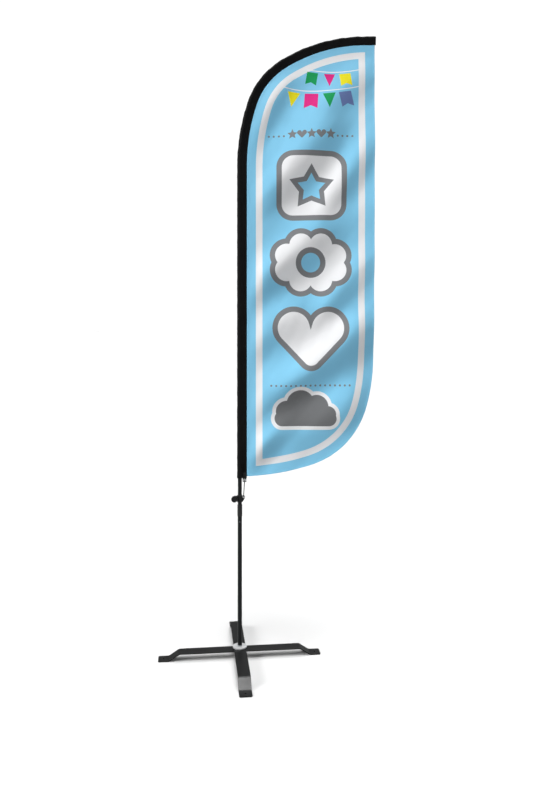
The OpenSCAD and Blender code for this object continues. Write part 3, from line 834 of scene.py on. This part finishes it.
# %% Hang the flag
flat_faces = turned_left(flat_faces, flat)
front, _ = cloth_points(flat, CLOTH / 2)
back, _ = cloth_points(flat, -CLOTH / 2)
flag_points, flag_faces, rim = two_sided(front, back, flat_faces)
colour_names = list(PRINT)
choice = [colour_names.index(c) for c in face_colours]
flag = add_piece(
    "flag_panel_cloth", flag_points, flag_faces, list(print_finish.values()), "flag_mast",
    ["flag_panel"], choice + choice + [0] * len(rim))
print("flag", len(flag_faces), "faces, rim", len(rim))

# %% [markdown]
# ## Hems and stitches
# The free edges are turned over and sewn, which stops them fraying and makes them a little
# thicker and straighter. A hem is a flat tube of cloth swept along the edge. A stitch is a short
# bead of thread pulled down at its ends, and a seam is hundreds of them in a row.

# %% Sweeping a profile, and rows of stitches
def swept(centres, across, outward, profile):
    """Sweeps a closed profile of (across, outward) pairs along a line, and caps both ends."""
    profile = np.array(profile)
    rings = (centres[:, None, :] + profile[None, :, :1] * across[:, None, :]
             + profile[None, :, 1:] * outward[:, None, :])
    count, sides = rings.shape[:2]
    faces = []
    for start in range(0, (count - 1) * sides, sides):
        for k in range(sides):
            n = (k + 1) % sides
            faces.append((start + k, start + n, start + sides + n, start + sides + k))
    faces.append(tuple(range(sides))[::-1])
    faces.append(tuple(range((count - 1) * sides, count * sides)))
    return rings.reshape(-1, 3), faces


def unit(vectors):
    return vectors / np.maximum(np.linalg.norm(vectors, axis=-1, keepdims=True), 1e-12)


def turned_out(points, faces):
    """Makes the faces of closed shells face outwards."""
    work = bmesh.new()
    made = [work.verts.new(p) for p in points]
    for face in faces:
        work.faces.new([made[i] for i in face])
    bmesh.ops.recalc_face_normals(work, faces=work.faces)
    work.verts.index_update()
    result = [[v.index for v in face.verts] for face in work.faces]
    work.free()
    return result


def evenly(points, pitch):
    """The same line with points a pitch apart."""
    points = np.array(points, float)
    steps = np.linalg.norm(np.diff(points, axis=0), axis=1)
    travelled = np.concatenate([[0], np.cumsum(steps)])
    count = max(2, int(travelled[-1] / pitch))
    wanted = np.linspace(0, travelled[-1], count + 1)
    return np.stack([np.interp(wanted, travelled, points[:, k])
                     for k in range(points.shape[1])], 1)


STITCH_RINGS = [(-0.5, 0.0, -0.6), (-0.36, 0.8, 0.1), (0.0, 1.0, 0.45), (0.36, 0.8, 0.1),
                (0.5, 0.0, -0.6)]      # along, girth, height: shares of length and radius
STITCH_FLAT = 0.8                      # thread that is pulled tight is flatter than round


def stitches(places, along, outward, length, radius, sides=5):
    """One bead of thread at each place."""
    side = np.cross(along, outward)
    bead = []
    for run, girth, rise in STITCH_RINGS:
        turn = [math.tau * k / sides for k in range(sides)] if girth else [0.0]
        for a in turn:
            bead.append((run * length, girth * radius * math.cos(a),
                         radius * (rise + girth * math.sin(a) * STITCH_FLAT)))
    bead = np.array(bead)
    faces = []
    body = [1 + ring * sides for ring in range(3)]
    last = len(bead) - 1
    for k in range(sides):
        n = (k + 1) % sides
        faces.append((0, body[0] + n, body[0] + k))
        for a, b in zip(body, body[1:]):
            faces.append((a + k, a + n, b + n, b + k))
        faces.append((last, body[2] + k, body[2] + n))
    points = (places[:, None, :] + bead[None, :, :1] * along[:, None, :]
              + bead[None, :, 1:2] * side[:, None, :] + bead[None, :, 2:] * outward[:, None, :])
    every = [tuple(i + len(bead) * s for i in face) for s in range(len(places)) for face in faces]
    return points.reshape(-1, 3), every


def joined(parts):
    """Several (points, faces) as one."""
    points, faces, start = [], [], 0
    for some, theirs in parts:
        points.append(some)
        faces += [tuple(i + start for i in face) for face in theirs]
        start += len(some)
    return np.concatenate(points), faces


# %% Hem round the free edges
HEM = 0.009                # how wide the turned edge is
SEWN_IN = 0.0068           # the stitches' way in from the edge
free_line = [(RIGHT, panel_high.z)] + [p for p in free_edge(0.0) if p[0] > SEAM + 0.003]
hem_flat = evenly(free_line, 0.006)


def inward_of(line):
    """Unit vectors square to a flat line, towards the panel."""
    along = unit(np.gradient(line, axis=0))
    return np.stack([along[:, 1], -along[:, 0]], 1)


hem_inward = inward_of(hem_flat)
hem_centre, hem_normal = cloth_points(hem_flat)
hem_inner, _ = cloth_points(hem_flat + hem_inward * HEM)
hem_across = unit(hem_inner - hem_centre)
hem_profile = [   # (inwards, to the front): thin, with a rounded outer edge
    (-0.0006, 0.0002), (-0.0003, 0.0006), (0.0004, 0.0008), (HEM - 0.0004, 0.0008),
    (HEM, 0.0005), (HEM, -0.0008), (HEM - 0.0006, -0.0011), (0.0004, -0.0011), (-0.0004, -0.0008)]
hem_points, hem_faces = swept(hem_centre, hem_across, hem_normal, hem_profile)
hem = add_piece("flag_hem", hem_points, turned_out(hem_points, hem_faces),
                [print_finish["blue"]], "flag_mast")

sewn = evenly(hem_flat + hem_inward * SEWN_IN, 0.0040)
sewn_place, sewn_normal = cloth_points(sewn)
sewn_along = unit(np.gradient(sewn_place, axis=0))
rows = [stitches(sewn_place + side * sewn_normal * lift, sewn_along, side * sewn_normal,
                 0.0030, 0.00034)
        for side, lift in ((1, 0.0009), (-1, 0.0012))]
points, faces = joined(rows)
add_piece("hem_stitches", points, faces, [blue_thread], "flag_mast")
print("hem", len(hem_flat), "rings,", len(sewn), "stitches a side")

# %% [markdown]
# ## The sleeve
# The sleeve is a strip of heavy black cloth folded round the pole and sewn to the panel. Seen
# along the pole it is a drop shape: round at the pole, with two plies that come together at the
# seam. It is swept along the pole's line, gets slimmer where the pole does, and puckers on the
# bend, because a straight strip has to follow a curve there.

# %% The sleeve's section
SLEEVE_WALL = 0.0009       # how thick the cloth is
PLY_HALF = 0.0012          # half the two plies, where they are sewn together
POCKET, POCKET_LOSS = 0.0148, 0.0052         # radius on the upright part, and how much it loses
PUCKER_FROM = 1.60         # along the line, a little before the bend
ROUND_STEPS, PLY_STEPS = 22, 9


def pocket_radius(distance):
    """Outer radius round the pole: wide on the upright part, slimmer along the bend."""
    return POCKET - POCKET_LOSS * float(smooth((distance - 1.55) / 1.25))


def round_pole(radius, opening):
    """Points round the pole, from one side of an opening to the other."""
    turn = [opening + (math.tau - 2 * opening) * k / ROUND_STEPS for k in range(ROUND_STEPS + 1)]
    return [(radius * math.cos(a), radius * math.sin(a)) for a in turn]


def drop_profile(radius, hug):
    """The drop shape as (towards the panel, front) pairs, open at the seam, and the way inside.

    A hug of 1 gives plies that run straight in from the pole. More of it brings them together
    sooner, and over 2 they lie flat all the way to the pole, as they are sewn at the mouth.
    """
    start = SEAM - 0.004
    spread = math.acos(radius / start)
    body = round_pole(radius, spread)
    touch_u, touch_v = body[0]
    shares = [k / PLY_STEPS for k in range(PLY_STEPS)]
    ply = [(start + (touch_u - start) * share, PLY_HALF + (touch_v - PLY_HALF) * share ** hug)
           for share in shares]
    if hug > 2:
        flat_share = min(1, (hug - 2) / 3)
        snug = round_pole(radius, math.asin(PLY_HALF / radius))
        body = [tuple(np.array(b) * (1 - flat_share) + np.array(s) * flat_share)
                for b, s in zip(body, snug)]
        ply = [(u, v * (1 - flat_share) + PLY_HALF * flat_share) if u > body[0][0] else body[0]
               for u, v in ply]
    seam_end = (SEAM, PLY_HALF * 0.9)
    half = [seam_end] + ply
    outline = np.array(half + body + [(u, -v) for u, v in half[::-1]])
    middle = np.array([SEAM * 0.25, 0])
    return outline, SLEEVE_WALL * unit(middle - outline)


def pucker(distance, profile):
    """Small slanting ripples, stronger on the bend."""
    bend = float(smooth((distance - PUCKER_FROM) / 0.25))
    u, v = profile.T
    size = 0.00045 + 0.0005 * bend
    phase = 62 * distance + 70 * u * np.sign(v)
    ripple = np.sin(phase + 1.7 * math.sin(9 * distance)) + 0.6 * np.sin(2.3 * phase + 1.1)
    return size * ripple * smooth((SEAM - 0.003 - u) / 0.014)


# %% Sweep the sleeve
FRONT = np.array([0, -1, 0])


def sleeve_rings():
    """Rings of points of the outer and the inner skin, from the mouth to the tip."""
    distances = np.concatenate([
        np.linspace(0, 0.12, 16), np.linspace(0.13, UPRIGHT, 150)[1:],
        np.linspace(UPRIGHT, LINE_LENGTH - 0.0005, 170)[1:]])
    outer, inner = [], []
    for distance in distances:
        x, z, lean = line_at(distance)
        towards = np.array([math.cos(lean), 0, -math.sin(lean)])
        hug = 1.2 + 6 * float(smooth((0.10 - distance) / 0.06))
        profile, inside = drop_profile(pocket_radius(distance), hug)
        swell = pucker(distance, profile)[:, None]
        turned_up = 0.0005 if distance < 0.013 else 0.0
        away = unit(profile - np.array([0.004, 0]))
        for rings, points in ((outer, profile + away * (swell + turned_up)),
                              (inner, profile + away * swell + inside)):
            rings.append(np.array([x, 0, z]) + points[:, :1] * towards + points[:, 1:] * FRONT)
    return np.array(outer), np.array(inner)


outer_rings, inner_rings = sleeve_rings()
count, sides = outer_rings.shape[:2]


def skin_faces(start, flip):
    made = []
    for i in range(count - 1):
        for k in range(sides - 1):
            a = start + i * sides + k
            quad = (a, a + 1, a + 1 + sides, a + sides)
            made.append(quad[::-1] if flip else quad)
    return made


# the two skins, joined at the mouth, along both plies and at the tip
skin = count * sides
tip_ring = skin - sides
faces = skin_faces(0, False) + skin_faces(skin, True)
for k in range(sides - 1):
    faces.append((k + 1, k, skin + k, skin + k + 1))
for a in range(0, tip_ring, sides):
    b = a + sides - 1
    faces.append((a, a + sides, skin + a + sides, skin + a))
    faces.append((b + sides, b, skin + b, skin + b + sides))
for k in range(tip_ring, skin - 1):
    faces.append((k, k + 1, skin + k + 1, skin + k))

# a sewn end over the tip: a thin plate of the same drop shape
END_OUT, END_THICK = 0.0004, 0.0016
end = outer_rings[-1] + np.array([END_OUT, 0, 0])
outer_end, inner_end = 2 * skin, 2 * skin + sides
for first in (outer_end, inner_end):
    for k in range(sides // 2):
        a, b = first + k, first + sides - 1 - k
        faces.append(tuple(dict.fromkeys((a, a + 1, b - 1, b))))
for k in range(sides - 1):
    faces.append((outer_end + k, outer_end + k + 1, inner_end + k + 1, inner_end + k))
faces.append((outer_end, inner_end, inner_end + sides - 1, inner_end - 1))
points = np.concatenate([outer_rings.reshape(-1, 3), inner_rings.reshape(-1, 3),
                         end, end - np.array([END_THICK, 0, 0])])
sleeve = add_piece("pole_sleeve_cloth", points, turned_out(points, faces),
                   [sleeve_finish], "flag_mast", ["pole_sleeve"])
print("sleeve", len(sleeve.data.polygons), "faces")

# %% [markdown]
# ## Sewing along the seam
# Two rows of black thread close the sleeve, one on each face, and a row of pale thread on the
# blue cloth holds the panel's turned edge. A short arc of stitches holds the hem of the mouth.

# %% Seam and mouth stitches
STITCH, STITCH_PITCH = 0.0034, 0.0046
MOUTH_HEM_Z = MOUTH_Z + 0.0125


def along_seam(offset, start, stop):
    """Flat places of a row of stitches, beside the line."""
    distances = np.arange(start, LINE_LENGTH - stop, STITCH_PITCH)
    return np.array([beside_line(d, offset) for d in distances])


parts = []
black_row = along_seam(SEAM - 0.0035, 0.016, 0.004)
for side in (1, -1):
    places = np.insert(black_row, 1, -side * (PLY_HALF + 0.0003), axis=1)
    outward = np.tile([0.0, -side, 0.0], (len(places), 1))
    parts.append(stitches(places, unit(np.gradient(places, axis=0)), outward, STITCH, 0.00042))
mouth_radius = pocket_radius(0) + 0.0007
outward = np.array([(math.cos(a), -math.sin(a), 0) for a in np.radians(np.arange(70, 291, 17))])
places = outward * mouth_radius + np.array([0, 0, MOUTH_HEM_Z])
parts.append(stitches(places, np.cross(outward, [0, 0, 1.0]), outward, STITCH, 0.0004))
points, faces = joined(parts)
add_piece("sleeve_stitches", points, faces, [black_thread], "flag_mast")

blue_row = along_seam(SEAM + 0.010, 0.024, 0.020)
places, normals = cloth_points(blue_row)
along = unit(np.gradient(places, axis=0))
parts = [stitches(places + side * normals * 0.0004, along, side * normals, STITCH, 0.00036)
         for side in (1, -1)]
points, faces = joined(parts)
add_piece("panel_seam_stitches", points, faces, [blue_thread], "flag_mast")
print("seam stitches", len(black_row), "and", len(blue_row), "a side")

# %% [markdown]
# ## Tab and elastic
# A folded webbing tab is sewn over the sleeve's lower corner, with an eyelet through it. An
# endless elastic cord runs from the eyelet to the clamp on the pole and keeps the flag pulled
# down. The tab is a grid with the eyelet's hole left out. The cord is swept round a racetrack,
# and its braid is a real ripple in its surface.

# %% Webbing tab
tab_low, tab_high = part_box("sleeve_tab")
eyelet_low, eyelet_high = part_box("tab_eyelet")
eyelet_centre = (eyelet_low + eyelet_high) / 2
tab_x = (tab_low.x + tab_high.x) / 2
tab_half = tab_high.y
EYELET_HOLE = 0.0053       # radius of the hole in the webbing, under the eyelet's flange
THIN_EDGE = 0.0006         # how much thinner the selvedges and the cut top are
RIB, RIBS = 0.00012, 11    # height and number of the ribs that run along the webbing
HALF_SLEEVE, TOUCHING = 0.0015, 0.00003      # from the middle to a side, round the sleeve and below
TAB_ROWS, TAB_COLUMNS = 46, 26
TAB_SEAMS_Z = (0.9775, 0.9985)


def tab_side(z):
    """Half the tab's thickness: full over its length, rounded at the fold and the top."""
    fold = max(0.0, 1 - (z - tab_low.z) / tab_half)
    top = float(smooth(1 - (tab_high.z - z) / 0.002))
    return tab_half * math.sqrt(max(0.0, 1 - fold ** 2)) - THIN_EDGE * top


def tab_layers(side):
    """Points of the outer and the inner face of one side, row by row from the fold up."""
    outer, inner = [], []
    for row in range(TAB_ROWS + 1):
        z = tab_low.z + (tab_high.z - tab_low.z) * (row / TAB_ROWS) ** 1.15
        for column in range(TAB_COLUMNS + 1):
            share = column / TAB_COLUMNS
            x = tab_low.x + (tab_high.x - tab_low.x) * share
            edge = THIN_EDGE * abs(2 * share - 1) ** 12
            outside = tab_side(z) - edge + RIB * math.cos(math.tau * RIBS * share)
            inside = HALF_SLEEVE if z > MOUTH_Z else TOUCHING
            outer.append((x, side * outside, z))
            inner.append((x, side * min(inside, outside), z))
    return np.array(outer), np.array(inner)


def tab_grid(points):
    """Squares between the rows and columns, without those that the eyelet's hole takes."""
    width = TAB_COLUMNS + 1
    made = []
    for row in range(TAB_ROWS):
        for a in range(row * width, row * width + TAB_COLUMNS):
            x = (points[a][0] + points[a + 1][0]) / 2
            z = (points[a][2] + points[a + width][2]) / 2
            if math.hypot(x - eyelet_centre.x, z - eyelet_centre.z) >= EYELET_HOLE:
                made.append((a, a + 1, a + 1 + width, a + width))
    return made


tab_parts = []
for side in (-1, 1):
    outer, inner = tab_layers(side)
    points, faces, _ = two_sided(outer, inner, tab_grid(outer))
    tab_parts.append(only_used(points, faces))
points, faces = joined(tab_parts)
add_piece("webbing_tab", points, turned_out(points, faces), [webbing_finish],
          "flag_mast", ["sleeve_tab"])

parts = []
for side in (-1, 1):
    for z in TAB_SEAMS_Z:
        places = np.array([(x, side * (tab_half + 0.0001), z)
                           for x in np.arange(tab_low.x + 0.0025, tab_high.x - 0.002, 0.0028)])
        along, outward = (np.tile(v, (len(places), 1)) for v in ([1.0, 0, 0], [0, float(side), 0]))
        parts.append(stitches(places, along, outward, 0.0021, 0.0003))
points, faces = joined(parts)
add_piece("tab_stitches", points, faces, [black_thread], "flag_mast")
print("tab", [round(v * 1000, 1) for v in tab_low], "to", [round(v * 1000, 1) for v in tab_high])

# %% The cord's track
_, cord_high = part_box("elastic_loop")
CORD_RADIUS = 0.0025
BEND_RADIUS = cord_high.y - CORD_RADIUS
loop_top = np.array([tab_x, 0, 0.95725])         # middle of the upper turn, through the eyelet
loop_bottom = np.array([0.021, 0, 0.8745])       # middle of the lower turn, through the clamp's eye
rise = unit(loop_top - loop_bottom)
track = []
for middle, way in ((loop_top, 1), (loop_bottom, -1)):
    for a in (math.pi * k / 24 for k in range(25)):
        track.append(middle + way * BEND_RADIUS * (FRONT * math.cos(a) + rise * math.sin(a)))
track = evenly(track + track[:1], 0.0011)[:-1]

# %% Braid the cord round its track
CORD_SIDES, STRANDS = 16, 4
RINGS_A_TURN = 5.0         # how far a strand goes along the cord for each turn round it
BRAID_DEPTH = 0.06         # share of the radius
forward = unit(np.roll(track, -1, axis=0) - np.roll(track, 1, axis=0))
square = unit(np.cross(rise, -FRONT))
ring_turn = np.arange(CORD_SIDES) * math.tau / CORD_SIDES
points = []
for k, (place, ahead) in enumerate(zip(track, forward)):
    strand, climb = STRANDS * ring_turn, math.tau * k / RINGS_A_TURN
    braid = 0.5 * np.maximum(np.cos(strand + climb), np.cos(strand - climb + 1.0))
    radius = CORD_RADIUS * (1 - BRAID_DEPTH + BRAID_DEPTH * braid)
    points.append(place + np.outer(radius * np.cos(ring_turn), square)
                  + np.outer(radius * np.sin(ring_turn), np.cross(ahead, square)))
points = np.concatenate(points)
faces = []
for start in range(0, len(points), CORD_SIDES):
    after = (start + CORD_SIDES) % len(points)
    for k in range(CORD_SIDES):
        n = (k + 1) % CORD_SIDES
        faces.append((start + k, start + n, after + n, after + k))
elastic = add_piece("elastic_cord", points, turned_out(points, faces), [elastic_finish],
                    "flag_mast", ["elastic_loop"])
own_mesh(elastic)
print("elastic", round(float(np.linalg.norm(np.diff(track, axis=0), axis=1).sum()), 3), "m round")

# %% [markdown]
# The panel was cut flat to its outline. The sleeve was a straight strip, as long as the pole's
# line and as wide as the way round the drop shape with two seam allowances.

# %% [markdown]
# ## Metal, plastic and pole finishes
# The bars and the pole are powder coated black, which is satin with a faint orange peel. The hub
# and fittings are zinc plated. Wear shows bare metal on the bars' edges, and a little dust lies
# on what faces up near the ground.

# %% Hard material
DUST = (150, 146, 138)
BLOTCHY = 0.08             # how much lighter or darker the blotches are


def hard(name, colour, rough, metal=0.0, depth=0.00004, grains=1500.0, rubbed=None, dusty=0.0,
         specular=0.5):
    made, tree, shader, place = new_finish(name, Metallic=metal, Specular_IOR_Level=specular)
    grains_on_it = place_group(tree, grain, Coordinates=place, Grains_per_metre=grains)
    geometry = tree.nodes.new("ShaderNodeNewGeometry")
    normal = tree.nodes.new("ShaderNodeSeparateXYZ")
    link(tree, geometry.outputs["Normal"], normal.inputs[0])
    marks = place_group(tree, wear, Coordinates=place, Edge=geometry.outputs["Pointiness"],
                        Up=normal.outputs["Z"])
    base = linear(colour)
    blotches = grains_on_it.outputs["Blotches"]
    shade = colour_between(tree, blotches, tuple(c * (1 - BLOTCHY) for c in base),
                           tuple(min(1, c * (1 + BLOTCHY)) for c in base))
    if rubbed:
        shade = colour_between(tree, marks.outputs["Rubbed"], shade, linear(rubbed))
    if dusty:
        shade = colour_between(tree, math_node(tree, "MULTIPLY", marks.outputs["Dust"], dusty),
                               shade, linear(DUST))
    link(tree, shade, shader.inputs["Base Color"])
    roughness = math_node(tree, "MULTIPLY_ADD", blotches, 0.14, rough - 0.07)
    link(tree, roughness, shader.inputs["Roughness"])
    bump(tree, shader, grains_on_it.outputs["Height"], depth)
    return made


# %% Hard finishes
powder = hard("powder_coat_black", (9, 10, 11), 0.30, rubbed=(62, 64, 66), dusty=0.01,
              specular=0.30, grains=900.0)
pole_coat = hard("pole_black", (15, 17, 19), 0.30, specular=0.3, grains=1400.0, depth=0.00002)
rod_coat = hard("fibreglass_black", (18, 19, 20), 0.38, specular=0.3, grains=2200.0,
                depth=0.00003)
zinc = hard("zinc_plate", (178, 182, 184), 0.34, metal=1.0, grains=1800.0, depth=0.00002)
disc_coat = hard("hub_disc_satin", (176, 177, 178), 0.40, metal=0.15, grains=1200.0,
                 dusty=0.2, depth=0.00003)
steel = hard("bearing_steel", (200, 202, 204), 0.18, metal=1.0, depth=0.00001)
brass = hard("cage_brass", (190, 150, 86), 0.32, metal=1.0, depth=0.00002)
nylon = hard("nylon_black", (24, 24, 25), 0.5, grains=1100.0)
rubber = hard("cap_rubber", (20, 20, 20), 0.75, grains=1300.0, depth=0.00006)
moulded = hard("clamp_plastic", (17, 18, 20), 0.42, specular=0.35, grains=1600.0,
               depth=0.00006)
knob_coat = hard("knob_plastic", (16, 17, 19), 0.36, specular=0.35, grains=1600.0,
                 depth=0.00005)

finish_of = {
    powder: ["lower_bar", "upper_bar"],
    nylon: ["bar_washer", "pole_foot_bush", "lower_ferrule"],
    zinc: ["hub_tube", "bearing_circlip", "spindle", "spindle_nut", "stop_rivet",
           "upper_stop_ring", "tip_stop_ring", "tab_eyelet", "clamp_nut", "clamp_washer",
           "clamp_screw"],
    disc_coat: ["hub_disc"],
    steel: ["bearing_outer_ring", "bearing_inner_ring", "bearing_balls"],
    brass: ["bearing_cage"],
    pole_coat: ["lower_pole", "middle_pole"],
    rod_coat: ["upper_pole", "tip_rod"],
    rubber: ["tip_cap"],
    moulded: ["clamp_collar"],
    knob_coat: ["clamp_knob"],
}
for finish, nodes in finish_of.items():
    for node in nodes:
        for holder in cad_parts[node].material_slots:
            holder.material = finish
print("hard finishes", len(finish_of))

# %% [markdown]
# ## Softened edges
# No real edge is perfectly sharp: a broken edge catches a thin line of light, and that line is
# what makes metal and moulded plastic look solid. The pieces that are seen close up are copied,
# their flat faces merged, and their edges bevelled. The copy stands for the piece in the frame.

# %% Bevelled copies
SHARP = math.radians(32)   # edges that turn more than this are bevelled


def softened(node, name, width, body):
    """A copy of a frame piece with bevels of one width. It takes the piece's place."""
    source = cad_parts[node]
    work = bmesh.new()
    work.from_mesh(source.data)
    bmesh.ops.remove_doubles(work, verts=work.verts, dist=2e-6)
    bmesh.ops.dissolve_limit(work, angle_limit=math.radians(0.4), verts=work.verts,
                             edges=work.edges)
    mesh = bpy.data.meshes.new(name + "_rough")
    work.to_mesh(mesh)
    work.free()
    mesh.polygons.foreach_set("use_smooth", [True] * len(mesh.polygons))
    mesh.set_sharp_from_angle(angle=SHARP)
    rough = new_object(name + "_rough", mesh)
    bevel = rough.modifiers.new("bevel", "BEVEL")
    bevel.width = width
    bevel.segments = 2
    bevel.limit_method = "ANGLE"
    bevel.angle_limit = SHARP
    bevel.miter_outer = "MITER_ARC"
    bevel.harden_normals = True
    graph = bpy.context.evaluated_depsgraph_get()
    final = bpy.data.meshes.new_from_object(rough.evaluated_get(graph))
    bpy.data.objects.remove(rough)
    final.materials.clear()
    final.materials.append(source.material_slots[0].material)
    piece = new_object(name, final)
    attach(piece, body)
    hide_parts(node)
    print(name, len(final.polygons), "faces")


softened("lower_bar", "lower_bar_coated", 0.0009, "base")
softened("upper_bar", "upper_bar_coated", 0.0009, "upper_bar")
softened("hub_disc", "hub_disc_turned", 0.0004, "base")
softened("clamp_collar", "clamp_collar_moulded", 0.0006, "clamp")
softened("clamp_knob", "clamp_knob_moulded", 0.0005, "knob")
